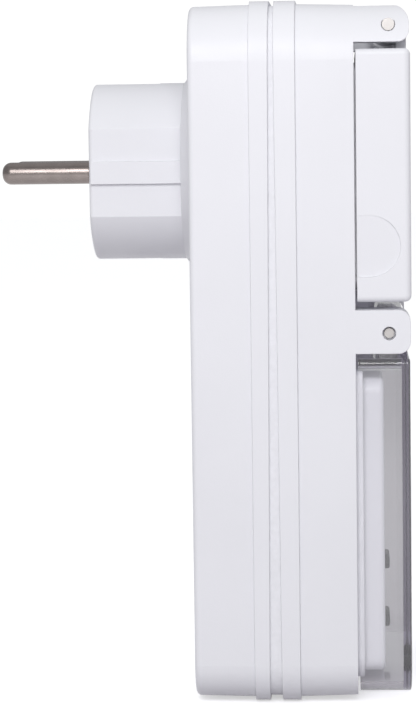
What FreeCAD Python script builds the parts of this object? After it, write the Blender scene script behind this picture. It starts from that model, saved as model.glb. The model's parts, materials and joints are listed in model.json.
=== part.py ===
import FreeCAD, Part
import math
import os
import re

import Sketcher
from FreeCAD import Placement, Rotation, Vector

# A splash-proof plug-in power meter: a round earthed plug at the back, a spring-lidded
# socket and a display under a clear flip cover at the front, in a tall two-shell case.
#
# Frame: millimetres, +Z up, the pins point along +Y and the socket faces -Y. The origin
# is midway between the two pins, on the plug's flat face. "Depth" is the distance in
# front of that face, so depth = -Y.

DIMS = {
    # Plug
    "pin_radius": 2.4,
    "pin_length": 19.0,
    "pin_spacing": 19.0,
    "pin_shank": 2.2,
    "pin_collar": 3.4,
    "plug_face": 0.5,
    "plug_radius": 19.25,
    "plug_flat": 16.8,
    "rib_width": 4.8,
    "rib_reach": 17.65,
    "plug_length": 20.3,
    "plug_bore": 13.5,
    "plug_bore_depth": 14.0,
    "collar_radius": 22.9,
    "spigot_radius": 20.5,
    "earth_slot": 5.2,
    "earth_level": 17.9,
    "strip_thick": 0.8,
    "retainer_thick": 1.6,
    # Case outline
    "back_face": 22.9,
    "half_width": 35.0,
    "case_top": 34.85,
    "case_low": 111.2,
    "top_corner": 12.0,
    "low_corner": 8.0,
    "bead": 0.7,
    "wall": 2.3,
    "rear_inset": 0.27,
    "front_inset": 0.35,
    "rear_bead": 35.55,
    "front_bead": 45.1,
    "case_front": 57.15,
    "back_round": 1.1,
    # Tapering seam between the shells: depths at its top and bottom ends
    "seam_top": 40.0,
    "seam_foot": 120.0,
    "rear_seam_top": 39.6,
    "rear_seam_foot": 38.6,
    "front_seam_top": 40.6,
    "front_seam_foot": 41.3,
    "gasket_inset": 1.0,
    "gasket_width": 1.6,
    "tongue_gap": 0.2,
    "tongue_thick": 1.3,
    "tongue_start": 37.0,
    # Screw posts
    "upper_post_x": 28.3,
    "upper_post_z": 27.0,
    "lower_post_x": 29.3,
    "lower_post_z": 103.5,
    "post_radius": 3.3,
    "screw_radius": 1.45,
    "screw_hole": 1.8,
    "screw_bite": 1.47,
    "screw_head": 2.8,
    "head_pocket": 3.1,
    "head_floor": 26.5,
    "post_end": 52.4,
    # Socket
    "well_radius": 19.75,
    "well_depth": 17.5,
    "socket_front": 59.6,
    "socket_radius": 21.1,
    "socket_floor": 2.5,
    "socket_flange": 26.0,
    "hole_radius": 2.75,
    "clip_width": 5.6,
    "clip_level": 19.95,
    "post_pitch": 16.7,
    # Lid and its hinge
    "lid_back": 57.55,
    "lid_front": 68.75,
    "lid_top": 25.05,
    "lid_foot": 27.0,
    "lid_wall": 2.0,
    "lid_roof": 1.6,
    "lid_pin_depth": 64.3,
    "lid_pin_height": 30.0,
    "lid_pin_radius": 1.3,
    "lid_barrel": 3.75,
    "rim_top": 22.3,
    "rim_foot": 24.6,
    "seal_inner": 20.45,
    "seal_outer": 21.65,
    "thumb_radius": 6.35,
    "thumb_depth": 60.2,
    "thumb_drop": 15.45,
    # Hinge ears
    "ear_inner": 26.0,
    "ear_front": 68.55,
    "upper_ear_foot": 26.4,
    "lower_ear_top": 28.65,
    "lower_ear_foot": 37.7,
    "knuckle": 25.6,
    # Display cover and its hinge
    "cover_back": 57.6,
    "cover_front": 68.4,
    "cover_top": 38.8,
    "cover_foot": 110.0,
    "cover_wall": 1.8,
    "cover_roof": 1.5,
    "cover_plate": 1.75,
    "cover_pin_depth": 64.1,
    "cover_pin_drop": 33.5,
    "cover_pin_radius": 1.05,
    # Display block
    "block_half": 30.4,
    "block_top": 43.2,
    "block_foot": 105.5,
    "block_front": 62.95,
    "block_wall": 1.75,
    "screen_half": 24.5,
    "screen_top": 48.5,
    "screen_foot": 76.5,
    # Buttons
    "button_proud": 1.4,
    "upper_button": 86.5,
    "lower_button": 99.4,
    "button_width": 10.0,
    "button_height": 3.0,
    "button_gap": 0.2,
    # Circuit boards
    "board_thick": 1.6,
    "main_board": 33.0,
    "display_board": 53.2,
    "board_post_x": 25.0,
    "board_post_top": 37.0,
    "board_post_low": 92.0,
    "head_cross": 2.2,
}

WORD = re.compile(r"[a-z][a-z_]*")
SIDES = (-1, 1)

doc = FreeCAD.newDocument("power_meter")


def fill_sheet():
    """Put every driving dimension in the spreadsheet, one row each."""
    sheet = doc.addObject("Spreadsheet::Sheet", "Dims")
    for row, (name, size) in enumerate(DIMS.items(), start=1):
        sheet.set(f"A{row}", name)
        sheet.set(f"B{row}", str(size))
        sheet.setAlias(f"B{row}", name)
    doc.recompute()


def swap_names(text, swap):
    """Replace each of the sheet's names in an expression by what swap makes of it."""
    def swap_one(found):
        word = found.group(0)
        return swap(word) if word in DIMS else word

    return WORD.sub(swap_one, str(text))


def number(text):
    """The value in mm of an expression written with the sheet's names."""
    return FreeCAD.Units.Quantity(swap_names(text, lambda name: f"({DIMS[name]})")).Value


def bind(item, prop, text):
    """Bind a property to an expression written with the sheet's names."""
    item.setExpression(prop, swap_names(text, lambda name: "Dims." + name))


def new_body(label):
    body = doc.addObject("PartDesign::Body", label)
    body.Label = label
    body.AllowCompound = True
    return body


def new_sketch(body, plane, start, u="0", v="0", tilt=0.0):
    """A sketch on a body's origin plane: start is along the plane's normal.

    On "XZ" u is X, v is Z and start is depth; on "YZ" u is Y, v is Z and start is X;
    on "XY" u is X, v is Y and start is Z. Tilt turns it about its own u axis.
    """
    sketch = body.newObject("Sketcher::SketchObject", body.Label + "_sketch")
    role = plane + "_Plane"
    support = [f for f in body.Origin.OriginFeatures if f.Role == role][0]
    sketch.AttachmentSupport = [(support, "")]
    sketch.MapMode = "FlatFace"
    sketch.AttachmentOffset = Placement(Vector(), Rotation(Vector(1, 0, 0), tilt))
    for axis, text in zip("xyz", (u, v, start)):
        bind(sketch, "AttachmentOffset.Base." + axis, text)
    return sketch


def hold(sketch, kind, items, size):
    """Add a constraint whose size is bound to an expression."""
    index = sketch.addConstraint(Sketcher.Constraint(kind, *items, number(size)))
    name = f"size{index}"
    sketch.renameConstraint(index, name)
    bind(sketch, "Constraints." + name, size)


def draw_rectangle(sketch, width, height, low=None, high=None):
    """A rectangle centred on the sketch; low and high round its lower and upper corners."""
    w = number(width) / 2
    h = number(height) / 2
    # Corners anticlockwise from lower left: position, radius, start angle of the arc
    radii = [low, low, high, high]
    signs = [(-1, -1), (1, -1), (1, 1), (-1, 1)]
    lines = []
    arcs = []
    for i in range(4):
        j = (i + 1) % 4
        start = Vector(signs[i][0] * w, signs[i][1] * h, 0)
        end = Vector(signs[j][0] * w, signs[j][1] * h, 0)
        along = (end - start).normalize()
        r_start = number(radii[i]) if radii[i] else 0.0
        r_end = number(radii[j]) if radii[j] else 0.0
        lines.append(sketch.addGeometry(Part.LineSegment(start + along * r_start, end - along * r_end)))
    for i in range(4):
        if radii[i]:
            r = number(radii[i])
            centre = Vector(signs[i][0] * (w - r), signs[i][1] * (h - r), 0)
            first = math.pi + i * math.pi / 2
            circle = Part.Circle(centre, Vector(0, 0, 1), r)
            arc = sketch.addGeometry(Part.ArcOfCircle(circle, first, first + math.pi / 2))
            sketch.addConstraint(Sketcher.Constraint("Tangent", lines[i - 1], 2, arc, 1))
            sketch.addConstraint(Sketcher.Constraint("Tangent", arc, 2, lines[i], 1))
            hold(sketch, "Radius", (arc,), radii[i])
            arcs.append(arc)
        else:
            sketch.addConstraint(Sketcher.Constraint("Coincident", lines[i - 1], 2, lines[i], 1))
    for line in (lines[0], lines[2]):
        sketch.addConstraint(Sketcher.Constraint("Horizontal", line))
    for line in (lines[1], lines[3]):
        sketch.addConstraint(Sketcher.Constraint("Vertical", line))
    hold(sketch, "DistanceX", (lines[3], 1, -1, 1), f"({width}) / 2")
    hold(sketch, "DistanceX", (-1, 1, lines[1], 1), f"({width}) / 2")
    hold(sketch, "DistanceY", (lines[0], 1, -1, 1), f"({height}) / 2")
    hold(sketch, "DistanceY", (-1, 1, lines[2], 1), f"({height}) / 2")


def draw_polygon(sketch, corners):
    """A closed polygon; each corner is a pair of expressions."""
    spots = [Vector(number(u), number(v), 0) for u, v in corners]
    ends = spots[1:] + spots[:1]
    lines = [sketch.addGeometry(Part.LineSegment(start, end)) for start, end in zip(spots, ends)]
    for i, line in enumerate(lines):
        sketch.addConstraint(Sketcher.Constraint("Coincident", lines[i - 1], 2, line, 1))
        for kind, text in zip(("DistanceX", "DistanceY"), corners[i]):
            hold(sketch, kind, (-1, 1, line, 1), text)


def draw_circles(sketch, radius, centres=(("0", "0"),)):
    """Equal circles at centres given as pairs of expressions."""
    for u, v in centres:
        spot = Vector(number(u), number(v), 0)
        circle = sketch.addGeometry(Part.Circle(spot, Vector(0, 0, 1), number(radius)))
        hold(sketch, "Radius", (circle,), radius)
        for kind, text in zip(("DistanceX", "DistanceY"), (u, v)):
            if number(text) == 0:
                vertical = Sketcher.Constraint("PointOnObject", circle, 3, -2 if kind == "DistanceX" else -1)
                sketch.addConstraint(vertical)
            else:
                hold(sketch, kind, (-1, 1, circle, 3), text)


def extrude(body, sketch, length, cut=False, back=False, middle=False, taper=None):
    """Pad or pocket a sketch along its normal, or against it where back is set."""
    kind = "Pocket" if cut else "Pad"
    feature = body.newObject("PartDesign::" + kind, f"{body.Label}_{kind.lower()}")
    feature.Profile = sketch
    bind(feature, "Length", length)
    feature.Reversed = back != cut
    if middle:
        feature.Midplane = True
    if taper:
        bind(feature, "TaperAngle", taper)
    return feature


def block(body, plane, start, length, size, at=("0", "0"), low=None, high=None, **how):
    """Extrude or cut a centred rectangle of the given size."""
    sketch = new_sketch(body, plane, start, *at)
    draw_rectangle(sketch, size[0], size[1], low, high)
    return extrude(body, sketch, length, **how)


def discs(body, plane, start, length, radius, centres=(("0", "0"),), at=("0", "0"), **how):
    """Extrude or cut equal circles."""
    sketch = new_sketch(body, plane, start, *at)
    draw_circles(sketch, radius, centres)
    return extrude(body, sketch, length, **how)


def soften(body, radius, chosen):
    """Round the edges of the body's tip that the test picks."""
    doc.recompute()
    base = body.Tip
    names = [f"Edge{i}" for i, edge in enumerate(base.Shape.Edges, start=1) if chosen(edge)]
    if not names:
        raise ValueError(body.Label + ": no edge to round")
    fillet = body.newObject("PartDesign::Fillet", body.Label + "_fillet")
    fillet.Base = (base, names)
    bind(fillet, "Radius", radius)
    doc.recompute()
    return fillet


def lies_at(low, high, level):
    """Whether a box that runs from low to high lies wholly at one level."""
    return abs(low - level) < 0.01 and abs(high - level) < 0.01


def at_depth(depth):
    """A test for edges that lie wholly at one depth."""
    level = -number(depth)
    return lambda edge: lies_at(edge.BoundBox.YMin, edge.BoundBox.YMax, level)


def at_height(height):
    """A test for edges that lie wholly at one height."""
    level = number(height)
    return lambda edge: lies_at(edge.BoundBox.ZMin, edge.BoundBox.ZMax, level)


def joined(label, parts):
    fuse = doc.addObject("Part::MultiFuse", label)
    fuse.Label = label
    fuse.Shapes = parts
    return fuse


def carved(label, base, tool):
    cut = doc.addObject("Part::Cut", label)
    cut.Label = label
    cut.Base = base
    cut.Tool = tool
    return cut


def four_posts(x_upper, z_upper, x_lower, z_lower):
    """Centres of a left and right pair above and another pair below."""
    upper = [(f"{side} * {x_upper}", z_upper) for side in SIDES]
    lower = [(f"{side} * {x_lower}", z_lower) for side in SIDES]
    return upper + lower


CASE_MIDDLE = "(case_top - case_low) / 2"
CASE_POSTS = four_posts("upper_post_x", "upper_post_z", "lower_post_x", "-lower_post_z")
BOARD_POSTS = four_posts("board_post_x", "-board_post_top", "board_post_x", "-board_post_low")
DIAGONAL_POSTS = four_posts("post_pitch", "post_pitch", "post_pitch", "-post_pitch")
RETAINER_SCREWS = four_posts("12.1", "12.1", "12.1", "-12.1")
PIN_CENTRES = [(f"{side} * pin_spacing / 2", "0") for side in SIDES]


def case_outline(body, start, length, grow, **how):
    """Extrude the case's rounded outline, grown or shrunk evenly."""
    size = (f"2 * (half_width + ({grow}))", f"case_top + case_low + 2 * ({grow})")
    corners = {"low": f"low_corner + ({grow})", "high": f"top_corner + ({grow})"}
    return block(body, "XZ", start, length, size, ("0", CASE_MIDDLE), **corners, **how)


def seam_trim(body, seam, beyond):
    """Cut a body off at the rear or front slanting face of the seam, as far as the depth beyond."""
    sketch = new_sketch(body, "YZ", "0")
    top = ("seam_top", f"-{seam}_seam_top")
    foot = ("-seam_foot", f"-{seam}_seam_foot")
    corners = [(top[1], top[0]), (foot[1], foot[0]), (f"-{beyond}", foot[0]), (f"-{beyond}", top[0])]
    draw_polygon(sketch, corners)
    extrude(body, sketch, "2 * (half_width + 5)", cut=True, middle=True)


def add_posts(body, start, length, hole, centres, radius="post_radius"):
    """Round posts with a hole down each."""
    discs(body, "XZ", start, length, radius, centres)
    discs(body, "XZ", f"({start}) - 0.1", f"({length}) + 0.2", hole, centres, cut=True)


# ---------------------------------------------------------------- plug

def make_plug_body():
    body = new_body("plug_body")
    discs(body, "XZ", "plug_face", "back_face - plug_face", "plug_radius")
    for side in SIDES:
        size = ("2 * (plug_radius - plug_flat)", "2 * plug_radius")
        block(body, "XZ", "-1", "plug_length + 1", size, (f"{side} * plug_radius", "0"), cut=True)
    soften(body, "0.8", at_depth("plug_face"))
    rib_start = "plug_face + 0.4"
    block(body, "XZ", rib_start, f"plug_length - ({rib_start})", ("2 * rib_reach", "rib_width"))
    discs(body, "XZ", "back_face", "back_face - plug_length", "collar_radius", back=True,
          taper="-atan((collar_radius - plug_radius) / (back_face - plug_length))")
    discs(body, "XZ", "back_face", "wall", "spigot_radius")
    discs(body, "XZ", "plug_bore_depth", "back_face", "plug_bore", cut=True)
    discs(body, "XZ", "-1", "back_face", "pin_shank + 0.01", PIN_CENTRES, cut=True)
    for side in SIDES:
        window = ("earth_slot", "4")
        block(body, "XZ", "-1", "plug_bore_depth + 2", window, ("0", f"{side} * (earth_level + 2)"), cut=True)
        passage = ("earth_slot", "strip_thick + 0.1")
        level = f"{side} * (earth_level + strip_thick / 2 + 0.05)"
        block(body, "XZ", "0", "back_face + 5", passage, ("0", level), cut=True)
    discs(body, "XZ", "plug_bore_depth + 2", "20", "1.05", RETAINER_SCREWS, cut=True)


def make_pin(label, side):
    body = new_body(label)
    centre = [(f"{side} * pin_spacing / 2", "0")]
    discs(body, "XZ", "-pin_length", "pin_length", "pin_radius", centre)
    soften(body, "pin_radius - 0.5", at_depth("-pin_length"))
    discs(body, "XZ", "-1", "28", "pin_shank", centre)
    discs(body, "XZ", "plug_bore_depth + 0.05", "1.5", "pin_collar", centre)


def make_earth_bracket():
    """One bent strip: two outer contacts joined by a bar behind the plug."""
    body = new_body("earth_bracket")
    for side in SIDES:
        size = ("earth_slot - 0.4", "strip_thick")
        level = f"{side} * (earth_level + strip_thick / 2 + 0.05)"
        block(body, "XZ", "1", "28.3", size, ("0", level))
    bar = ("earth_slot - 0.4", "2 * (earth_level + strip_thick + 0.05)")
    block(body, "XZ", "28.5", "strip_thick", bar)


def make_plug_retainer():
    """Ring inside the rear shell that clamps the plug body to its back wall."""
    body = new_body("plug_retainer")
    start = "back_face + wall"
    discs(body, "XZ", start, "retainer_thick", "25")
    discs(body, "XZ", f"{start} - 1", "4", "plug_bore", cut=True)
    discs(body, "XZ", f"{start} - 1", "4", "1.3", RETAINER_SCREWS, cut=True)
    for side in SIDES:
        block(body, "XZ", f"{start} - 1", "4", ("earth_slot + 0.4", "2.4"), ("0", f"{side} * 18.4"), cut=True)


def make_screws(label, centres, seat, head_height, head_radius, shaft_radius, shaft_length, driven="front"):
    """A group of cross-recessed screws whose heads bear on the depth of the seat.

    Driven is the way the screws travel as they go in, so the heads face the other way.
    """
    body = new_body(label)
    to_back = driven == "back"
    discs(body, "XZ", seat, head_height, head_radius, centres, back=not to_back)
    discs(body, "XZ", seat, shaft_length, shaft_radius, centres, back=to_back)
    sign = "+" if to_back else "-"
    outer = f"{seat} {sign} {head_height}"
    for centre in centres:
        for size in (("head_cross", "0.7"), ("0.7", "head_cross")):
            block(body, "XZ", outer, f"0.6 * {head_height}", size, centre, cut=True, back=to_back)


# ---------------------------------------------------------------- case

def make_rear_shell():
    body = new_body("rear_shell")
    case_outline(body, "rear_bead", "rear_bead - back_face", "0", back=True,
                 taper="-atan(rear_inset / (rear_bead - back_face))")
    soften(body, "back_round", at_depth("back_face"))
    case_outline(body, "rear_bead", "rear_seam_top - rear_bead + 0.2", "bead")
    case_outline(body, "back_face + wall", "40", "-wall", cut=True)
    add_posts(body, "back_face + 1", "rear_seam_top - back_face - 1", "screw_hole", CASE_POSTS)
    discs(body, "XZ", "back_face - 1", "head_floor - back_face + 1", "head_pocket", CASE_POSTS, cut=True)
    discs(body, "XZ", "back_face - 1", "wall + 2", "spigot_radius + 0.05", cut=True)
    add_posts(body, "back_face + 1", "main_board - back_face - 1", "0.9", BOARD_POSTS, "2.5")
    seam_trim(body, "rear", "case_front")


def make_gasket():
    body = new_body("seam_gasket")
    case_outline(body, "rear_seam_foot - 1", "front_seam_foot - rear_seam_foot + 2", "bead - gasket_inset")
    case_outline(body, "rear_seam_foot - 2", "front_seam_foot - rear_seam_foot + 4",
                 "bead - gasket_inset - gasket_width", cut=True)
    # It fills the wedge between the shells, so both of their seam faces bound it
    seam_trim(body, "rear", "back_face")
    seam_trim(body, "front", "case_front")


def make_front_tray():
    """The front half of the case before its hinge ears are added."""
    body = new_body("front_tray")
    case_outline(body, "front_bead", "case_front - front_bead", "0",
                 taper="-atan(front_inset / (case_front - front_bead))")
    case_outline(body, "front_seam_top - 0.5", "front_bead - front_seam_top + 0.5", "bead")
    hollow = "case_front - wall - front_seam_top + 5"
    case_outline(body, "front_seam_top - 5", hollow, "-wall - front_inset", cut=True)
    reach = "post_end - front_seam_top"
    add_posts(body, "front_seam_top - 0.4", reach, "screw_bite", CASE_POSTS, "post_radius + 0.1")
    # A rim that keeps splashes out stands up just inside the lid's walls
    rim = ("2 * (half_width - front_inset - lid_wall - 0.4)", "rim_top + rim_foot")
    inside = (f"{rim[0]} - 1.6", f"{rim[1]} - 1.6")
    centre = ("0", "(rim_top - rim_foot) / 2")
    block(body, "XZ", "case_front - 1", "2.2", rim, centre, "2", "2")
    block(body, "XZ", "case_front", "3", inside, centre, "1.2", "1.2", cut=True)
    discs(body, "XZ", "case_front - wall - 1", "5", "socket_radius + 0.3", cut=True)
    opening = ("2 * block_half + 0.2", "block_foot - block_top + 0.2")
    middle = ("0", "-(block_foot + block_top) / 2")
    block(body, "XZ", "case_front - wall - 1", "5", opening, middle, "3", "3", cut=True)
    discs(body, "XZ", "case_front - wall - 1", "wall + 0.4", "0.95", DIAGONAL_POSTS, cut=True)
    seam_trim(body, "front", "back_face")
    # A tongue stands back past the seam inside the rear shell, notched round the screw posts
    case_outline(body, "tongue_start", "8", "-wall - tongue_gap")
    case_outline(body, "tongue_start - 1", "10", "-wall - tongue_gap - tongue_thick", cut=True)
    notch = "post_radius + 0.3"
    discs(body, "XZ", "tongue_start - 1", "rear_seam_top - tongue_start + 1.4", notch, CASE_POSTS, cut=True)
    reach = "post_end - front_seam_foot"
    add_posts(body, "front_seam_foot", reach, "screw_bite", CASE_POSTS, "post_radius + 0.1")
    return body


def make_hinge_ears():
    """Four ears with rounded ends, cut to the case's outline so that they are flush with it."""
    stock = new_body("ear_stock")
    case_outline(stock, "case_front - 1", "ear_front - case_front + 2", "-front_inset")
    bars = new_body("ear_bars")
    root = "case_front - 1"
    # The upper and lower edge of each ear, and the radius that each of those edges is rounded to
    spans = ((("case_top - front_inset", "4.1"), ("upper_ear_foot", "2.4")),
             (("-lower_ear_top", "2.5"), ("-lower_ear_foot", "2.5")))
    for (top, _), (foot, _) in spans:
        size = (f"ear_front - ({root})", f"{top} - ({foot})")
        at = (f"-(ear_front + {root}) / 2", f"({top} + ({foot})) / 2")
        block(bars, "YZ", "0", "2 * half_width + 2", size, at, middle=True)
    front = at_depth("ear_front")
    for edges in spans:
        for height, radius in edges:
            level = at_height(height)
            soften(bars, radius, lambda edge: front(edge) and level(edge))
    middle = ("2 * ear_inner", "100")
    block(bars, "XZ", "case_front - 5", "20", middle, cut=True)
    ears = doc.addObject("Part::Common", "hinge_ears")
    ears.Base = stock
    ears.Tool = bars
    return ears


def make_pin_bores():
    """Bores for both hinge pins, with a wider mouth at each outer end."""
    body = new_body("pin_bores")
    hinges = (("lid_pin_depth", "lid_pin_height", "lid_pin_radius", "lid_pin_radius + 0.14", "31.4"),
              ("cover_pin_depth", "-cover_pin_drop", "cover_pin_radius", "cover_pin_radius + 0.36", "32.9"))
    for depth, height, radius, mouth, reach in hinges:
        at = (f"-{depth}", height)
        discs(body, "YZ", "0", "2 * half_width + 4", f"{radius} + 0.01", at=at, middle=True)
        for side in SIDES:
            discs(body, "YZ", f"{side} * {reach}", "5", mouth, at=at, back=side < 0)
    return body


def make_front_shell():
    whole = joined("front_with_ears", [make_front_tray(), make_hinge_ears()])
    carved("front_shell", whole, make_pin_bores())


# ---------------------------------------------------------------- socket

def make_socket_insert():
    body = new_body("socket_insert")
    floor = "socket_front - well_depth"
    discs(body, "XZ", f"{floor} - socket_floor", "well_depth + socket_floor", "socket_radius")
    discs(body, "XZ", "case_front - wall - 2.1", "2", "socket_flange")
    discs(body, "XZ", floor, "well_depth + 1", "well_radius", cut=True)
    discs(body, "XZ", f"{floor} - socket_floor - 1", "socket_floor + 2", "hole_radius", PIN_CENTRES, cut=True)
    for side in SIDES:
        size = ("clip_width + 0.4", "2.4")
        start = f"{floor} - socket_floor - 1"
        block(body, "XZ", start, "well_depth + 1", size, ("0", f"{side} * 20.5"), cut=True)
    discs(body, "XZ", "case_front - wall - 3", "4", "1.25", DIAGONAL_POSTS, cut=True)
    discs(body, "XZ", f"{floor} - socket_floor - 3.4", "3.5", "1.98")


SHUTTER_BACK = "socket_front - well_depth - socket_floor - 2.1"


def make_shutter():
    """A turning bar behind the socket's floor that covers both holes until a plug turns it."""
    body = new_body("shutter")
    block(body, "XZ", SHUTTER_BACK, "1.8", ("26.4", "6.6"), low="2", high="2")
    discs(body, "XZ", SHUTTER_BACK, "1.8", "3.6")
    discs(body, "XZ", f"{SHUTTER_BACK} - 1", "4", "2.04", cut=True)


def make_earth_clips():
    """The socket's two earth clips, one bent strip like the plug's bracket."""
    body = new_body("socket_earth_clips")
    for side in SIDES:
        size = ("clip_width", "strip_thick")
        block(body, "XZ", "33.2", "23.6", size, ("0", f"{side} * (clip_level + strip_thick / 2)"))
    bar = ("clip_width", "2 * (clip_level + strip_thick)")
    block(body, "XZ", "33.2", "strip_thick", bar)


def make_contact(label, side):
    """A slotted sleeve that grips one pin of the plug put into the socket."""
    body = new_body(label)
    centre = [(f"{side} * pin_spacing / 2", "0")]
    discs(body, "XZ", "28", "9", "3.2", centre)
    discs(body, "XZ", "29", "9", "2.45", centre, cut=True)
    block(body, "XZ", "31", "7", ("0.6", "8"), centre[0], cut=True)
    block(body, "XZ", "31", "7", ("8", "0.6"), centre[0], cut=True)


def make_link(label, side, shunt):
    """Plate that joins a plug pin to its socket contact and carries a tab for a wire."""
    body = new_body(label)
    middle = f"{side} * pin_spacing / 2"
    block(body, "XZ", "27", "1", ("6.4", "12"), (middle, "-3"), low="1", high="1")
    if shunt:
        block(body, "XZ", "26", "3", ("3.2", "0.8"), (f"{middle} - {side} * 2.2", "-4.4"), cut=True)


def make_earth_link():
    body = new_body("earth_link")
    discs(body, "XZ", "28.5 + strip_thick", "33.2 - 28.5 - strip_thick", "2")


# ---------------------------------------------------------------- lid and cover

def make_lid():
    body = new_body("lid")
    middle = ("0", "(lid_top - lid_foot) / 2")
    size = ("2 * (half_width - front_inset)", "lid_top + lid_foot")
    block(body, "XZ", "lid_back", "lid_front - lid_back", size, middle, "1.2", "1.2")
    soften(body, "1.3", at_depth("lid_front"))
    inside = ("2 * (half_width - front_inset - lid_wall)", "lid_top + lid_foot - lid_roof - lid_wall")
    centre = ("0", "(lid_top - lid_foot - lid_roof + lid_wall) / 2")
    block(body, "XZ", "lid_back - 1", "lid_front - lid_back - 1.2", inside, centre, "1", "1", cut=True)
    discs(body, "XZ", "lid_back + 3.8", "lid_front - lid_back - 5", "seal_outer")
    discs(body, "XZ", "lid_back - 1", "lid_front - lid_back - 1.2", "seal_inner", cut=True)
    neck = ("2 * knuckle", "lid_pin_height - lid_top + 1.4")
    block(body, "XZ", "66", "2.1", neck, ("0", "(lid_pin_height + lid_top - 1.4) / 2"))
    hinge = ("-lid_pin_depth", "lid_pin_height")
    discs(body, "YZ", "0", "2 * knuckle", "lid_barrel", at=hinge, middle=True)
    # Room for the spring between two knuckles, leaving the neck's outer skin
    block(body, "XZ", "60", "6.7", ("15", "9"), ("0", "lid_pin_height"), cut=True)
    discs(body, "YZ", "0", "2 * knuckle + 2", "lid_pin_radius + 0.06", at=hinge, middle=True, cut=True)
    for side in SIDES:
        thumb_recess(body, side)


def thumb_recess(body, side):
    """A shallow half-round hollow in the lid's side, deepest along its upper edge."""
    flank = "half_width - front_inset"
    lean = 2.6
    start = f"{side} * ({flank} - 0.32)"
    sketch = new_sketch(body, "YZ", start, "-thumb_depth", "-thumb_drop", tilt=side * lean)
    r = number("thumb_radius")
    back = number("thumb_depth") - number("lid_back") + 1
    arc = Part.ArcOfCircle(Part.Circle(Vector(), Vector(0, 0, 1), r), math.pi / 2, 3 * math.pi / 2)
    curve = sketch.addGeometry(arc)
    low = sketch.addGeometry(Part.LineSegment(Vector(0, -r, 0), Vector(back, -r, 0)))
    rim = sketch.addGeometry(Part.LineSegment(Vector(back, -r, 0), Vector(back, r, 0)))
    top = sketch.addGeometry(Part.LineSegment(Vector(back, r, 0), Vector(0, r, 0)))
    sketch.addConstraint(Sketcher.Constraint("Tangent", curve, 2, low, 1))
    sketch.addConstraint(Sketcher.Constraint("Coincident", low, 2, rim, 1))
    sketch.addConstraint(Sketcher.Constraint("Coincident", rim, 2, top, 1))
    sketch.addConstraint(Sketcher.Constraint("Tangent", top, 2, curve, 1))
    sketch.addConstraint(Sketcher.Constraint("Coincident", curve, 3, -1, 1))
    sketch.addConstraint(Sketcher.Constraint("Horizontal", low))
    sketch.addConstraint(Sketcher.Constraint("Vertical", rim))
    hold(sketch, "Radius", (curve,), "thumb_radius")
    hold(sketch, "DistanceX", (-1, 1, rim, 1), "thumb_depth - lid_back + 1")
    extrude(body, sketch, "3", cut=True, back=side < 0)


def make_lid_seal():
    body = new_body("lid_seal")
    discs(body, "XZ", "socket_front + 0.05", "lid_back + 3.8 - socket_front - 0.05", "seal_outer - 0.1")
    discs(body, "XZ", "socket_front - 1", "5", "seal_inner + 0.1", cut=True)


def make_display_cover():
    body = new_body("display_cover")
    middle = ("0", "-(cover_top + cover_foot) / 2")
    size = ("2 * (half_width - front_inset)", "cover_foot - cover_top")
    corner = "low_corner - front_inset"
    block(body, "XZ", "cover_back", "cover_front - cover_back", size, middle, corner, "1.2")
    soften(body, "0.5", at_depth("cover_front"))
    inside = ("2 * (half_width - front_inset - cover_wall)",
              "cover_foot - cover_top - cover_roof - cover_wall")
    centre = ("0", "-(cover_top + cover_roof + cover_foot - cover_wall) / 2")
    block(body, "XZ", "cover_back - 1", "cover_front - cover_back - cover_plate + 1", inside, centre,
          f"{corner} - cover_wall", "1", cut=True)
    neck = ("2 * knuckle", "cover_top - cover_pin_drop + 1")
    block(body, "XZ", "65.9", "2.1", neck, ("0", "-(cover_top + cover_pin_drop + 1) / 2"))
    hinge = ("-cover_pin_depth", "-cover_pin_drop")
    block(body, "YZ", "0", "2 * knuckle", ("7.8", "8"), hinge, "2.5", "2.5", middle=True)
    discs(body, "YZ", "0", "2 * knuckle + 2", "cover_pin_radius + 0.06", at=hinge, middle=True, cut=True)


def make_hinge_pin(label, depth, height, radius, reach):
    body = new_body(label)
    discs(body, "YZ", "0", f"2 * {reach}", radius, at=(f"-{depth}", height), middle=True)


def make_cover_seal():
    """Raised rubber rim round the display block, inside the cover's walls."""
    body = new_body("cover_seal")
    centre = ("0", "-(41.6 + 107) / 2")
    block(body, "XZ", "case_front", "1.4", ("65.2", "107 - 41.6"), centre, "5.6", "2")
    block(body, "XZ", "case_front - 1", "4", ("65.2 - 2.2", "107 - 41.6 - 2.2"), centre, "4.5", "1", cut=True)


# ---------------------------------------------------------------- display and buttons

BUTTONS = (("button_upper", ("0", "-upper_button")), ("button_lower", ("0", "-lower_button")))


SCREEN_MIDDLE = ("0", "-(screen_top + screen_foot) / 2")
SCREEN_SIZE = ("2 * screen_half", "screen_foot - screen_top")


def make_display_bezel():
    body = new_body("display_bezel")
    middle = ("0", "-(block_top + block_foot) / 2")
    size = ("2 * block_half", "block_foot - block_top")
    base = "case_front - wall"
    block(body, "XZ", base, f"block_front - ({base})", size, middle, "3", "3")
    soften(body, "1.1", at_depth("block_front"))
    flange = ("2 * block_half + 1.6", "block_foot - block_top + 1.6")
    block(body, "XZ", f"{base} - 1.7", "1.6", flange, middle, "3", "3")
    block(body, "XZ", f"{base} - 0.2", "0.3", size, middle, "3", "3")
    inside = ("2 * (block_half - block_wall)", "block_foot - block_top - 2 * block_wall")
    hollow = f"block_front - block_wall - ({base}) + 3"
    block(body, "XZ", f"{base} - 3", hollow, inside, middle, "1.5", "1.5", cut=True)
    block(body, "XZ", "block_front - 4", "6", SCREEN_SIZE, SCREEN_MIDDLE, "1.5", "1.5", cut=True)
    hole = ("button_width + 2 * button_gap", "button_height + 2 * button_gap")
    corner = "button_height / 2 + button_gap - 0.05"
    for _, centre in BUTTONS:
        block(body, "XZ", "block_front - 4", "6", hole, centre, corner, corner, cut=True)


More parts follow.
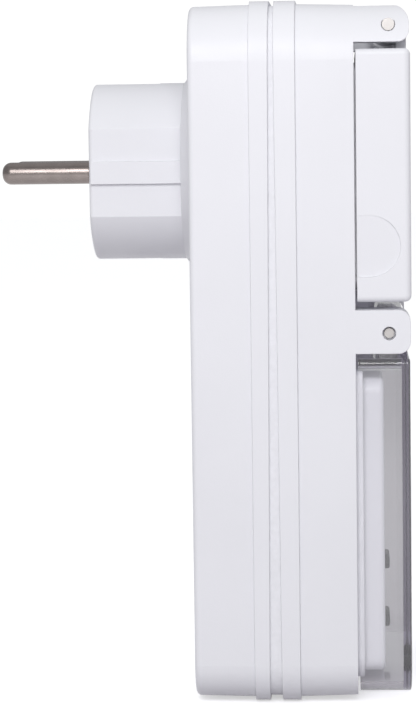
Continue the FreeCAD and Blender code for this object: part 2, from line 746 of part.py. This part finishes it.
def make_button(name, centre):
    """A pill-shaped cap with a wider foot that stops it behind the bezel."""
    body = new_body(name)
    corner = "button_height / 2 - 0.05"
    face = ("button_width", "button_height")
    foot = ("button_width + 1.6", "button_height + 1.6")
    block(body, "XZ", "58.7", "block_front + button_proud - 58.7", face, centre, corner, corner)
    soften(body, "0.5", at_depth("block_front + button_proud"))
    block(body, "XZ", "59.6", "1.3", foot, centre, "1.5", "1.5")


def make_screen():
    window = new_body("screen_window")
    size = ("2 * screen_half - 0.3", "screen_foot - screen_top - 0.3")
    block(window, "XZ", "block_front - block_wall + 0.15", "1.3", size, SCREEN_MIDDLE, "1.4", "1.4")
    panel = new_body("lcd_panel")
    size = ("2 * screen_half + 2", "screen_foot - screen_top + 3")
    block(panel, "XZ", "58.3", "2.8", size, SCREEN_MIDDLE)
    strips = new_body("contact_strips")
    face = "display_board + board_thick"
    for level in ("-screen_top - 0.2", "-screen_foot + 0.2"):
        block(strips, "XZ", face, f"58.3 - ({face})", ("44", "2"), ("0", level))


def make_display_board():
    body = new_body("display_board")
    middle = ("0", "-(block_top + block_foot) / 2")
    size = ("2 * (block_half - block_wall) - 0.4", "block_foot - block_top - 2 * block_wall - 0.4")
    block(body, "XZ", "display_board", "board_thick", size, middle, "1.5", "1.5")
    switches = new_body("button_switches")
    for _, centre in BUTTONS:
        block(switches, "XZ", "display_board + board_thick", "2", ("6", "4"), centre)
        discs(switches, "XZ", "display_board + board_thick + 1.9", "1.1", "1.2", at=centre)


# ---------------------------------------------------------------- main board

def make_main_board():
    body = new_body("main_board")
    block(body, "XZ", "main_board", "board_thick", ("60", "65"), ("0", "-64.5"), "1", "1")
    discs(body, "XZ", "main_board - 1", "4", "1.2", BOARD_POSTS, cut=True)
    top = "main_board + board_thick"
    parts = {
        "supply_capacitor": (("18", "9"), ("-11", "-43"), "14"),
        "metering_chip": (("8", "8"), ("2", "-60"), "1.4"),
        "board_connector": (("12", "3.4"), ("20", "-84"), "display_board - main_board - board_thick"),
        "transformer": (("14", "13"), ("-18", "-66"), "12"),
    }
    for label, (size, at, height) in parts.items():
        item = new_body(label)
        block(item, "XZ", top, height, size, at)
    filter_capacitor = new_body("filter_capacitor")
    discs(filter_capacitor, "XZ", top, "12", "5", at=("9", "-43"))
    varistor = new_body("varistor")
    discs(varistor, "YZ", "20", "4", "5", at=(f"-({top} + 5.6)", "-46"))
    block(varistor, "XZ", top, "2", ("1", "6"), ("22", "-46"))
    fuse = new_body("fuse")
    discs(fuse, "YZ", "12", "15", "2.4", at=(f"-({top} + 2.4)", "-60"))


def make_battery():
    """A stack of three sealed cells that keeps the readings, in a folded clip."""
    top = "main_board + board_thick"
    cells = new_body("backup_battery")
    axis = f"-({top} + 7)"
    discs(cells, "YZ", "-8", "16", "5.7", at=(axis, "-83"))
    clip = new_body("battery_clip")
    block(clip, "XZ", top, "1", ("20", "8"), ("0", "-83"))
    for side in SIDES:
        block(clip, "XZ", top, "11", ("0.8", "8"), (f"{side} * 9.2", "-83"))


# ---------------------------------------------------------------- bent and coiled pieces

def add_shape(label, shape):
    piece = doc.addObject("Part::Feature", label)
    piece.Label = label
    piece.Shape = shape
    return piece


def round_wire(edges, radius, start, direction):
    """A round bar along a path that leaves its start in the given direction."""
    ring = Part.Wire(Part.makeCircle(radius, start, direction))
    return Part.Wire(edges).makePipeShell([ring], True, False)


def make_wire(label, side):
    """A lead from a link's tab down to the back of the main board, with one bend."""
    x = side * DIMS["pin_spacing"] / 2
    radius = 1.1
    bend = 2.6
    depth = 28 + radius
    board_level = -38
    start = Vector(x, -depth, -6)
    corner = Vector(x, -depth, board_level)
    end = Vector(x, -DIMS["main_board"], board_level)
    before = corner + Vector(0, 0, bend)
    after = corner - Vector(0, bend, 0)
    centre = before - Vector(0, bend, 0)
    halfway = centre + Vector(0, bend, -bend) * math.sqrt(0.5)
    run = Part.LineSegment(start, before).toShape()
    turn = Part.Arc(before, halfway, after).toShape()
    tail = Part.LineSegment(after, end).toShape()
    add_shape(label, round_wire([run, turn, tail], radius, start, Vector(0, 0, 1)))


def make_lid_spring():
    """Torsion spring round the lid's pin; one leg bears on the case, one on the lid's neck."""
    mean = 1.8
    thick = 0.3
    span = 12.0
    turns = 12
    helix = Part.makeHelix(span / turns, span, mean)
    ring = Part.Wire(Part.makeCircle(thick, Vector(mean, 0, 0), Vector(0, 1, 0)))
    coil = Part.Wire(helix.Edges).makePipeShell([ring], True, True)
    # The coil starts and ends under the pin; a leg leaves each end, square to the radius
    back_leg = Part.makeCylinder(thick, 7.1, Vector(mean, 0, 0), Vector(0, 1, 0))
    front_leg = Part.makeCylinder(thick, 2.3, Vector(mean, 0, span), Vector(0, -1, 0))
    spring = add_shape("lid_spring", coil.multiFuse([back_leg, front_leg]))
    turn = Rotation(Vector(0, 0, -1), Vector(0, 1, 0), Vector(1, 0, 0), "ZXY")
    spring.Placement = Placement(Vector(-span / 2, -DIMS["lid_pin_depth"], DIMS["lid_pin_height"]), turn)


def make_shutter_spring():
    """A hairpin spring over the shutter's stub axle, both legs pointing down."""
    bend = 2.6
    leg = 5.0
    depth = number(SHUTTER_BACK) - 0.6
    foot = Vector(-bend, -depth, -leg)
    left = Vector(-bend, -depth, 0)
    right = Vector(bend, -depth, 0)
    rise = Part.LineSegment(foot, left).toShape()
    over = Part.Arc(left, Vector(0, -depth, bend), right).toShape()
    fall = Part.LineSegment(right, Vector(bend, -depth, -leg)).toShape()
    add_shape("shutter_spring", round_wire([rise, over, fall], 0.3, foot, Vector(0, 0, 1)))


# ---------------------------------------------------------------- build

HELPERS = ("front_tray", "ear_stock", "ear_bars", "pin_bores", "hinge_ears", "front_with_ears")


def build():
    fill_sheet()
    make_plug_body()
    make_pin("live_pin", -1)
    make_pin("neutral_pin", 1)
    make_earth_bracket()
    make_plug_retainer()
    seat = "back_face + wall + retainer_thick"
    make_screws("plug_screws", RETAINER_SCREWS, seat, "1.2", "2.1", "1.02", "9", "back")
    make_rear_shell()
    make_gasket()
    make_front_shell()
    make_screws("case_screws", CASE_POSTS, "head_floor", "2", "screw_head", "screw_radius", "21")
    make_socket_insert()
    make_screws("socket_screws", DIAGONAL_POSTS, "case_front - wall - 2.1", "1.3", "2", "0.9", "3.2")
    make_shutter()
    make_shutter_spring()
    make_earth_clips()
    make_contact("live_contact", -1)
    make_contact("neutral_contact", 1)
    make_link("live_shunt", -1, True)
    make_link("neutral_link", 1, False)
    make_earth_link()
    make_lid()
    make_lid_seal()
    make_lid_spring()
    make_hinge_pin("lid_pin", "lid_pin_depth", "lid_pin_height", "lid_pin_radius", "32")
    make_display_cover()
    make_cover_seal()
    make_hinge_pin("cover_pin", "cover_pin_depth", "-cover_pin_drop", "cover_pin_radius", "33.7")
    make_display_bezel()
    for name, centre in BUTTONS:
        make_button(name, centre)
    make_screen()
    make_display_board()
    make_main_board()
    make_battery()
    make_screws("board_screws", BOARD_POSTS, "main_board + board_thick", "1.4", "2.3", "0.88", "8", "back")
    make_wire("live_wire", -1)
    make_wire("neutral_wire", 1)


def check_and_write():
    doc.recompute()
    bad = [o.Label for o in doc.Objects if "Invalid" in o.State or "Error" in o.State]
    if bad:
        raise RuntimeError("these objects failed: " + ", ".join(bad))
    kinds = ("PartDesign::Body", "Part::Feature", "Part::Cut")
    pieces = [o for o in doc.Objects if o.TypeId in kinds and o.Label not in HELPERS]
    for piece in pieces:
        if piece.Shape.isNull() or not piece.Shape.isValid() or piece.Shape.Volume <= 0:
            raise RuntimeError(piece.Label + " has no valid shape")
    os.makedirs("parts", exist_ok=True)
    for piece in pieces:
        piece.Shape.exportStep(os.path.join("parts", piece.Label + ".step"))
        print(f"{piece.Label}: {len(piece.Shape.Solids)} solid, {piece.Shape.Volume:.0f} mm3")


build()
check_and_write()
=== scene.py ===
"""Looks of a plug-in power meter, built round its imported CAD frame. Everything is in metres."""
import json
import math

import bmesh
import bpy
from mathutils import Matrix, Vector

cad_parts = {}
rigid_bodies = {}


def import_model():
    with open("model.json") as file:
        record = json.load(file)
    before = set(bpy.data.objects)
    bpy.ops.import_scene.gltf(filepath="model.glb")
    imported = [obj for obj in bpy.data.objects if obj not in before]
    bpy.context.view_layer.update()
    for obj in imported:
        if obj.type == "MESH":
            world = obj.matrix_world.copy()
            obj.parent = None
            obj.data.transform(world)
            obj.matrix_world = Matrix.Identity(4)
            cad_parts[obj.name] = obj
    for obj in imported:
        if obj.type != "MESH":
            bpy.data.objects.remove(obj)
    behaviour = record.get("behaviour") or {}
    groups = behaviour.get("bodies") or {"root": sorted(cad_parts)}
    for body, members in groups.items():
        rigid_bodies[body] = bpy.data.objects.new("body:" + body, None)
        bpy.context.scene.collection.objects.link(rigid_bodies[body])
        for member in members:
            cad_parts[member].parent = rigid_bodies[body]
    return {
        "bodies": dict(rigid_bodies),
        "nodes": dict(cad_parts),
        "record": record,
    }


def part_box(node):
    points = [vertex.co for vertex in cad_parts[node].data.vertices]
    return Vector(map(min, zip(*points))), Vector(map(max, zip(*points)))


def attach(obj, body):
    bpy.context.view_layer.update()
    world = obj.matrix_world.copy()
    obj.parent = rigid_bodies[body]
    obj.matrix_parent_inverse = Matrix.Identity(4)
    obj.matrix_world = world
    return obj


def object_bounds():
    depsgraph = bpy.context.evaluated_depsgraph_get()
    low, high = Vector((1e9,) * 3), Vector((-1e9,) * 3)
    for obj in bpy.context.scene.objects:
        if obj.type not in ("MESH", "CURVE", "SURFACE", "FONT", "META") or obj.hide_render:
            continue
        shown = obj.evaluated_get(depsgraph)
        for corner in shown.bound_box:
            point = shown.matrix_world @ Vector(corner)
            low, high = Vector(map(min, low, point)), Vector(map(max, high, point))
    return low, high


MM = 0.001
# How many rays each rounded-edge lookup takes
EDGE_SAMPLES = 4

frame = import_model()
cad_low, cad_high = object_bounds()


# ------------------------------------------------------------------ node helpers

class Surface:
    """A node material under construction: its tree, its main shader and its object coordinates."""

    def __init__(self, name, roughness=0.5, metallic=0.0):
        self.material = bpy.data.materials.new(name)
        self.material.use_nodes = True
        self.tree = self.material.node_tree
        self.shader = self.tree.nodes["Principled BSDF"]
        self.shader.inputs["Metallic"].default_value = metallic
        self.shader.inputs["Roughness"].default_value = roughness
        self.place = self.add("ShaderNodeTexCoord").outputs["Object"]

    def add(self, kind, **sockets):
        """A new node; underscores in a socket's keyword stand for spaces."""
        node = self.tree.nodes.new(kind)
        for name, value in sockets.items():
            self.feed(value, node.inputs[name.replace("_", " ")])
        return node

    def feed(self, value, socket):
        if isinstance(value, bpy.types.NodeSocket):
            self.tree.links.new(value, socket)
        else:
            socket.default_value = value

    def set(self, name, value):
        self.feed(value, self.shader.inputs[name])

    def noise(self, size, detail=2.0, stretch=(1, 1, 1)):
        """Noise with features of about the given size; stretch divides the scale of each axis."""
        squeeze = [1 / factor for factor in stretch]
        mapped = self.add("ShaderNodeMapping", Vector=self.place, Scale=squeeze)
        texture = self.add("ShaderNodeTexNoise", Vector=mapped.outputs[0], Scale=1 / size, Detail=detail)
        return texture.outputs[0]

    def ramp(self, value, low, high, start=0.3, end=0.7):
        """A value from start to end, spread to the range low to high."""
        node = self.add("ShaderNodeMapRange", Value=value, From_Min=start, From_Max=end,
                        To_Min=low, To_Max=high)
        return node.outputs[0]

    def combine(self, operation, first, second):
        """The result of a math node on two values."""
        node = self.add("ShaderNodeMath")
        node.operation = operation
        self.feed(first, node.inputs[0])
        self.feed(second, node.inputs[1])
        return node.outputs[0]

    def mix(self, factor, first, second):
        """A colour between two others."""
        node = self.add("ShaderNodeMix")
        node.data_type = "RGBA"
        for index, value in ((0, factor), (6, first), (7, second)):
            self.feed(value, node.inputs[index])
        return node.outputs[2]

    def rounded_normal(self, radius):
        """The surface's normal, with sharp edges softened to the given radius."""
        node = self.add("ShaderNodeBevel", Radius=radius)
        node.samples = EDGE_SAMPLES
        return node.outputs[0]

    def bump(self, height, depth, edge=0.0):
        """Relief of the given depth, with sharp edges softened to the given radius."""
        node = self.add("ShaderNodeBump", Height=height, Distance=depth)
        if edge:
            self.feed(self.rounded_normal(edge), node.inputs["Normal"])
        self.set("Normal", node.outputs[0])

    def edges(self, radius):
        """1 along sharp edges and 0 away from them."""
        flat_normal = self.add("ShaderNodeNewGeometry").outputs["True Normal"]
        compare = self.add("ShaderNodeVectorMath")
        compare.operation = "DOT_PRODUCT"
        self.feed(self.rounded_normal(radius), compare.inputs[0])
        self.feed(flat_normal, compare.inputs[1])
        return self.ramp(compare.outputs["Value"], 1.0, 0.0, start=0.85, end=0.99)


def shade(colour, factor):
    """A colour made lighter or darker, with its alpha added."""
    return (*(min(1.0, channel * factor) for channel in colour), 1.0)


# ------------------------------------------------------------------ materials

def moulded_plastic(name, colour, roughness, grain=0.35 * MM, relief=0.012 * MM, edge=0.25 * MM):
    """Spark-textured thermoplastic: fine grain, faint flow clouds, edges rubbed smoother and painted
    lighter as a painted edge highlight.
    """
    surface = Surface(name, roughness)
    clouds = surface.noise(28 * MM, detail=3)
    tone = surface.mix(surface.ramp(clouds, 0, 1), shade(colour, 0.985), shade(colour, 1.01))
    # Sharp edges get a lighter colour, a painted edge highlight; the same mask makes them glossier, as
    # rubbed wear
    rubbed_and_highlit_edges = surface.edges(edge)
    edge_highlit_tone = surface.mix(surface.ramp(rubbed_and_highlit_edges, 0, 0.5, start=0, end=1), tone, shade(colour, 1.04))
    surface.set("Base Color", edge_highlit_tone)
    handled = surface.ramp(surface.noise(9 * MM, detail=4), roughness - 0.06, roughness + 0.06)
    polish = surface.ramp(rubbed_and_highlit_edges, 0, 0.12, start=0, end=1)
    surface.set("Roughness", surface.combine("SUBTRACT", handled, polish))
    surface.bump(surface.noise(grain, detail=2), relief, edge)
    surface.shader.inputs["Specular IOR Level"].default_value = 0.42
    return surface.material


def drawn_metal(name, colour, roughness, along, edge=0.12 * MM):
    """Metal with fine lines along one axis and slightly uneven plating."""
    surface = Surface(name, roughness, metallic=1.0)
    stretch = [40 if axis == along else 1 for axis in "XYZ"]
    lines = surface.noise(0.12 * MM, detail=3, stretch=stretch)
    clouds = surface.noise(3 * MM, detail=3)
    plating = surface.mix(surface.ramp(clouds, 0, 1), shade(colour, 0.9), shade(colour, 1.05))
    surface.set("Base Color", plating)
    surface.set("Roughness", surface.ramp(lines, roughness - 0.05, roughness + 0.08))
    surface.bump(lines, depth=0.002 * MM, edge=edge)
    return surface.material


def soft_rubber(name, colour, roughness=0.7):
    """Matt rubber with a powdery bloom."""
    surface = Surface(name, roughness)
    bloom = surface.noise(1.5 * MM, detail=4)
    tone = surface.mix(surface.ramp(bloom, 0, 1), shade(colour, 0.97), shade(colour, 1.03))
    surface.set("Base Color", tone)
    surface.set("Roughness", surface.ramp(bloom, roughness - 0.08, roughness + 0.1))
    surface.bump(surface.noise(0.15 * MM, detail=3), depth=0.01 * MM, edge=0.2 * MM)
    return surface.material


def clear_plastic(name, colour, density, roughness, relief, haze=0.0):
    """Clear moulded plastic with faint waves and handling marks.

    Light takes on the colour with thickness, by the density; haze is the part that the surface scatters.
    """
    surface = Surface(name, roughness)
    surface.set("Base Color", (1.0, 1.0, 1.0, 1.0))
    surface.set("Transmission Weight", 1.0 - haze)
    surface.set("IOR", 1.52)
    marks = surface.noise(6 * MM, detail=5)
    surface.set("Roughness", surface.ramp(marks, roughness * 0.6, roughness * 1.6))
    surface.bump(surface.noise(14 * MM, detail=1), relief)
    # Shadows and soft light pass straight through, as they do through thin walls
    path = surface.add("ShaderNodeLightPath")
    soft = surface.combine("MAXIMUM", path.outputs["Is Shadow Ray"], path.outputs["Is Diffuse Ray"])
    straight = surface.add("ShaderNodeBsdfTransparent", Color=(0.96, 0.96, 0.97, 1.0))
    choice = surface.add("ShaderNodeMixShader", Fac=soft)
    surface.feed(surface.shader.outputs[0], choice.inputs[1])
    surface.feed(straight.outputs[0], choice.inputs[2])
    output = surface.tree.nodes["Material Output"]
    surface.feed(choice.outputs[0], output.inputs["Surface"])
    tint = surface.add("ShaderNodeVolumeAbsorption", Color=(*colour, 1.0), Density=density)
    surface.feed(tint.outputs[0], output.inputs["Volume"])
    return surface.material


def solder_mask(name):
    """Green board lacquer over copper tracks that run both ways."""
    surface = Surface(name, 0.35)
    tracks = []
    for stretch in ((12, 1, 1), (1, 1, 12)):
        bands = surface.noise(1.1 * MM, detail=1, stretch=stretch)
        tracks.append(surface.ramp(bands, 0, 1, start=0.52, end=0.56))
    both = surface.combine("MAXIMUM", *tracks)
    surface.set("Base Color", surface.mix(both, (0.02, 0.12, 0.06, 1), (0.04, 0.24, 0.11, 1)))
    surface.bump(both, depth=0.035 * MM, edge=0.15 * MM)
    return surface.material


def reflective_display(name):
    """Grey-green display glass: fine pixel grid under a smooth coat."""
    surface = Surface(name, 0.45)
    surface.shader.inputs["Coat Weight"].default_value = 0.6
    surface.shader.inputs["Coat Roughness"].default_value = 0.08
    haze = surface.noise(11 * MM, detail=3)
    weave = surface.noise(0.2 * MM, detail=1)
    tone = surface.mix(surface.ramp(haze, 0, 1), (0.36, 0.4, 0.33, 1), (0.4, 0.43, 0.36, 1))
    speckled = surface.mix(surface.ramp(weave, 0, 0.12), tone, (0.25, 0.28, 0.23, 1))
    surface.set("Base Color", speckled)
    surface.bump(weave, depth=0.003 * MM)
    return surface.material


# How each material slot is made
FINISHES = {
    "case_plastic": (moulded_plastic, dict(colour=(0.80, 0.80, 0.835), roughness=0.44)),
    "plug_plastic": (moulded_plastic, dict(colour=(0.79, 0.79, 0.825), roughness=0.4, relief=0.006 * MM)),
    "nickel": (drawn_metal, dict(colour=(0.24, 0.208, 0.198), roughness=0.27, along="Y")),
    "steel": (drawn_metal, dict(colour=(0.46, 0.44, 0.43), roughness=0.45, along="X")),
    "brass": (drawn_metal, dict(colour=(0.8, 0.58, 0.25), roughness=0.3, along="Z")),
    "smoky_clear": (clear_plastic, dict(colour=(0.59, 0.555, 0.65), density=42.0, roughness=0.03,
                                        relief=0.006 * MM, haze=0.06)),
    "screen_clear": (clear_plastic, dict(colour=(0.7, 0.75, 0.75), density=6.0, roughness=0.02,
                                         relief=0.01 * MM)),
    "screen": (reflective_display, {}),
    "seal_rubber": (soft_rubber, dict(colour=(0.82, 0.82, 0.85))),
    "button_rubber": (soft_rubber, dict(colour=(0.035, 0.035, 0.04), roughness=0.55)),
    "board": (solder_mask, {}),
    "black_part": (moulded_plastic, dict(colour=(0.03, 0.03, 0.033), roughness=0.5)),
    "blue_part": (soft_rubber, dict(colour=(0.05, 0.13, 0.4), roughness=0.4)),
    "yellow_part": (moulded_plastic, dict(colour=(0.7, 0.52, 0.08), roughness=0.3)),
    "battery_wrap": (soft_rubber, dict(colour=(0.06, 0.2, 0.12), roughness=0.35)),
    "fuse_glass": (clear_plastic, dict(colour=(0.8, 0.85, 0.85), density=10.0, roughness=0.02,
                                       relief=0.01 * MM)),
    "wire_brown": (soft_rubber, dict(colour=(0.13, 0.05, 0.02), roughness=0.5)),
    "wire_blue": (soft_rubber, dict(colour=(0.03, 0.1, 0.4), roughness=0.5)),
}
MATERIALS = {slot: make(slot, **settings) for slot, (make, settings) in FINISHES.items()}


def dress_frame():
    """Give every CAD node the material of its slot."""
    for subpart in frame["record"]["subparts"]:
        node = frame["nodes"][subpart["node"]]
        for slot in node.material_slots:
            slot.material = MATERIALS[subpart["material_slot"]]


# ------------------------------------------------------------------ pieces

# How deep a mark or a label reaches into what it is on, and how far it stands proud
SUNK = 0.1 * MM
PROUD = 0.12 * MM

def add_piece(name, mesh, body, slot):
    """Show a bmesh as a piece that rides on a body and takes a slot's finish."""
    data = bpy.data.meshes.new(name)
    mesh.to_mesh(data)
    mesh.free()
    data.materials.append(MATERIALS[slot])
    piece = bpy.data.objects.new(name, data)
    bpy.context.scene.collection.objects.link(piece)
    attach(piece, body)


def front_prism(mesh, outline, back, front):
    """Add a prism on an outline of (x, z) points, from the back to the front (towards -Y)."""
    rear = [mesh.verts.new((x, back, z)) for x, z in outline]
    face = [mesh.verts.new((x, front, z)) for x, z in outline]
    mesh.faces.new(rear)
    mesh.faces.new(face[::-1])
    count = len(outline)
    for i in range(count):
        j = (i + 1) % count
        mesh.faces.new((rear[j], rear[i], face[i], face[j]))


def rounded_outline(centre_x, centre_z, width, height, radius):
    """Points round a rectangle with rounded corners."""
    steps = 6
    points = []
    for corner in range(4):
        side_x = 1 if corner in (0, 3) else -1
        side_z = 1 if corner in (0, 1) else -1
        x = centre_x + side_x * (width / 2 - radius)
        z = centre_z + side_z * (height / 2 - radius)
        for step in range(steps + 1):
            angle = math.radians(90 * (corner + step / steps))
            points.append((x + radius * math.cos(angle), z + radius * math.sin(angle)))
    return points


# The lit bars of each digit, lettered clockwise from the top, with g in the middle
SEGMENTS = {"0": "abcdef", "1": "bc", "2": "abdeg", "3": "abcdg", "5": "acdfg"}

# Each row's digits, a digit's width and height, a bar's thickness, and the height of the row's foot
# above the display's middle
DIGIT_ROWS = (("0230", 5.2 * MM, 10.5 * MM, 1.15 * MM, -8.5 * MM),
              ("00150", 3.4 * MM, 6.4 * MM, 0.8 * MM, 3.2 * MM))
# The step from one digit to the next, in digit widths, and how far the digits stand off the panel
DIGIT_PITCH = 1.45
INK = 0.06 * MM


def segment_outline(letter, x, z, width, height, thick):
    """A pointed bar of a seven-segment digit whose lower left corner is at (x, z)."""
    gap = 0.12 * thick
    half = thick / 2
    middle = height / 2
    flat = {"a": height - half, "g": middle, "d": half}
    upright = {"f": (half, middle), "e": (half, 0), "b": (width - half, middle), "c": (width - half, 0)}
    if letter in flat:
        left = x + half + gap
        right = x + width - half - gap
        level = z + flat[letter]
        return [(left, level), (left + half, level - half), (right - half, level - half),
                (right, level), (right - half, level + half), (left + half, level + half)]
    across, start = upright[letter]
    low = z + start + (half if start == 0 else 0) + gap
    high = z + start + middle - (half if start else 0) - gap
    line = x + across
    return [(line, low), (line + half, low + half), (line + half, high - half),
            (line, high), (line - half, high - half), (line - half, low + half)]


def make_display_digits():
    """Two rows of plain digits on the display, between the panel and its window."""
    low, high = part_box("lcd_panel")
    face = low.y
    mesh = bmesh.new()
    middle = (low.z + high.z) / 2
    for digits, width, height, thick, foot in DIGIT_ROWS:
        pitch = width * DIGIT_PITCH
        # The panel faces -Y, so its left is at -X
        left = -pitch * len(digits) / 2 + (pitch - width) / 2
        for place, digit in enumerate(digits):
            for letter in SEGMENTS[digit]:
                outline = segment_outline(letter, left + place * pitch, middle + foot, width, height, thick)
                front_prism(mesh, outline, face, face - INK)
    add_piece("display_digits", mesh, "case", "black_part")


# The height of a button's mark, the radius of its ends, and the length of each kind
MARK_HEIGHT = 1.3 * MM
MARK_ROUND = 0.62 * MM
DOT_LENGTH = 1.3 * MM
BAR_LENGTH = 5 * MM


def make_button_marks():
    """A raised dot on the upper button's face and a bar on the lower one's."""
    for name in sorted(frame["bodies"]):
        if not name.startswith("button"):
            continue
        low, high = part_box(name)
        x = (low.x + high.x) / 2
        z = (low.z + high.z) / 2
        length = BAR_LENGTH if "lower" in name else DOT_LENGTH
        mesh = bmesh.new()
        outline = rounded_outline(x, z, length, MARK_HEIGHT, MARK_ROUND)
        front_prism(mesh, outline, low.y + SUNK, low.y - PROUD)
        add_piece(name + "_mark", mesh, name, "seal_rubber")


LABEL_MIDDLE = -62 * MM
LABEL_WIDTH = 42 * MM
LABEL_HEIGHT = 30 * MM
LABEL_CORNER = 2 * MM


def make_rating_plate():
    """A blank film label in the middle of the back, under the plug."""
    low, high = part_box("rear_shell")
    mesh = bmesh.new()
    outline = rounded_outline(0, LABEL_MIDDLE, LABEL_WIDTH, LABEL_HEIGHT, LABEL_CORNER)
    front_prism(mesh, outline, high.y + PROUD, high.y - SUNK)
    add_piece("rating_plate", mesh, "case", "plug_plastic")


# ------------------------------------------------------------------ studio

FLOOR_RADIUS = 3.0
FLOOR_GLOW = 0.52
AMBIENT_STRENGTH = 0.55
BACKDROP_STRENGTH = 1.05

def make_floor():
    """A wide pale table, brighter to look at than it is as light on the object."""
    mesh = bmesh.new()
    bmesh.ops.create_circle(mesh, cap_ends=True, segments=96, radius=FLOOR_RADIUS)
    data = bpy.data.meshes.new("studio_floor")
    mesh.to_mesh(data)
    mesh.free()
    floor = bpy.data.objects.new("studio_floor", data)
    floor.location = ((cad_low.x + cad_high.x) / 2, (cad_low.y + cad_high.y) / 2, cad_low.z)
    bpy.context.scene.collection.objects.link(floor)
    surface = Surface("pale_floor", 0.6)
    paper = surface.noise(40 * MM, detail=3)
    # Rays through clear parts also count as glossy, so they are taken off again
    path = surface.add("ShaderNodeLightPath").outputs
    mirrored = surface.combine("SUBTRACT", path["Is Glossy Ray"], path["Is Transmission Ray"])
    seen = surface.combine("MAXIMUM", path["Is Camera Ray"], mirrored)
    bright = surface.mix(surface.ramp(paper, 0, 1), (0.86, 0.86, 0.87, 1), (0.88, 0.88, 0.885, 1))
    surface.set("Base Color", surface.mix(seen, (0.53, 0.51, 0.54, 1), bright))
    surface.bump(surface.noise(0.6 * MM, detail=2), depth=0.01 * MM)
    surface.shader.inputs["Emission Color"].default_value = (1, 1, 1, 1)
    surface.set("Emission Strength", surface.combine("MULTIPLY", seen, FLOOR_GLOW))
    data.materials.append(surface.material)


def make_world():
    """White where the camera looks, a dimmer soft grey as light on the object."""
    world = bpy.data.worlds.new("studio")
    world.use_nodes = True
    tree = world.node_tree
    ambient = tree.nodes["Background"]
    ambient.inputs["Color"].default_value = (0.97, 0.98, 1.0, 1)
    ambient.inputs["Strength"].default_value = AMBIENT_STRENGTH
    seen = tree.nodes.new("ShaderNodeBackground")
    seen.inputs["Color"].default_value = (1, 1, 1, 1)
    seen.inputs["Strength"].default_value = BACKDROP_STRENGTH
    choice = tree.nodes.new("ShaderNodeMixShader")
    path = tree.nodes.new("ShaderNodeLightPath")
    tree.links.new(path.outputs["Is Camera Ray"], choice.inputs[0])
    tree.links.new(ambient.outputs[0], choice.inputs[1])
    tree.links.new(seen.outputs[0], choice.inputs[2])
    tree.links.new(choice.outputs[0], tree.nodes["World Output"].inputs["Surface"])
    bpy.context.scene.world = world


def add_softbox(name, place, target, size, power):
    """A square lamp turned to a target; it isn't seen through the clear parts."""
    light = bpy.data.lights.new(name, "AREA")
    light.shape = "SQUARE"
    light.size = size
    light.energy = power
    lamp = bpy.data.objects.new(name, light)
    lamp.visible_transmission = False
    lamp.location = place
    lamp.rotation_euler = (Vector(target) - Vector(place)).to_track_quat("-Z", "Y").to_euler()
    bpy.context.scene.collection.objects.link(lamp)


def make_lights():
    middle = (cad_low + cad_high) / 2
    add_softbox("key_softbox", (-0.40, -0.02, 0.17), middle, size=0.2, power=1.02)
    add_softbox("top_softbox", (0.25, 0.1, 0.95), middle, size=0.9, power=0.6)


# The camera stands to the left of the object, half a metre off, level with the plug
CAMERA_AT = (-0.542, -0.0554, 0.0086)
CAMERA_TURN = math.radians(3.256)
CAMERA_TILT = math.radians(5.21)
CAMERA_ROLL = math.radians(0.77)
CAMERA_LENS = 124.5
CAMERA_SENSOR = 36
CAMERA_NEAR = 0.01


def make_camera():
    camera = bpy.data.cameras.new("camera")
    camera.lens = CAMERA_LENS
    camera.sensor_width = CAMERA_SENSOR
    camera.clip_start = CAMERA_NEAR
    holder = bpy.data.objects.new("camera", camera)
    flat = math.cos(CAMERA_TILT)
    ahead = Vector((flat * math.cos(CAMERA_TURN), flat * math.sin(CAMERA_TURN), -math.sin(CAMERA_TILT)))
    level = ahead.to_track_quat("-Z", "Y").to_matrix().to_4x4()
    holder.matrix_world = Matrix.Translation(CAMERA_AT) @ level @ Matrix.Rotation(-CAMERA_ROLL, 4, "Z")
    bpy.context.scene.collection.objects.link(holder)
    bpy.context.scene.camera = holder


dress_frame()
make_display_digits()
make_button_marks()
make_rating_plate()
make_floor()
make_world()
make_lights()
make_camera()
bpy.context.scene.view_settings.view_transform = "Standard"
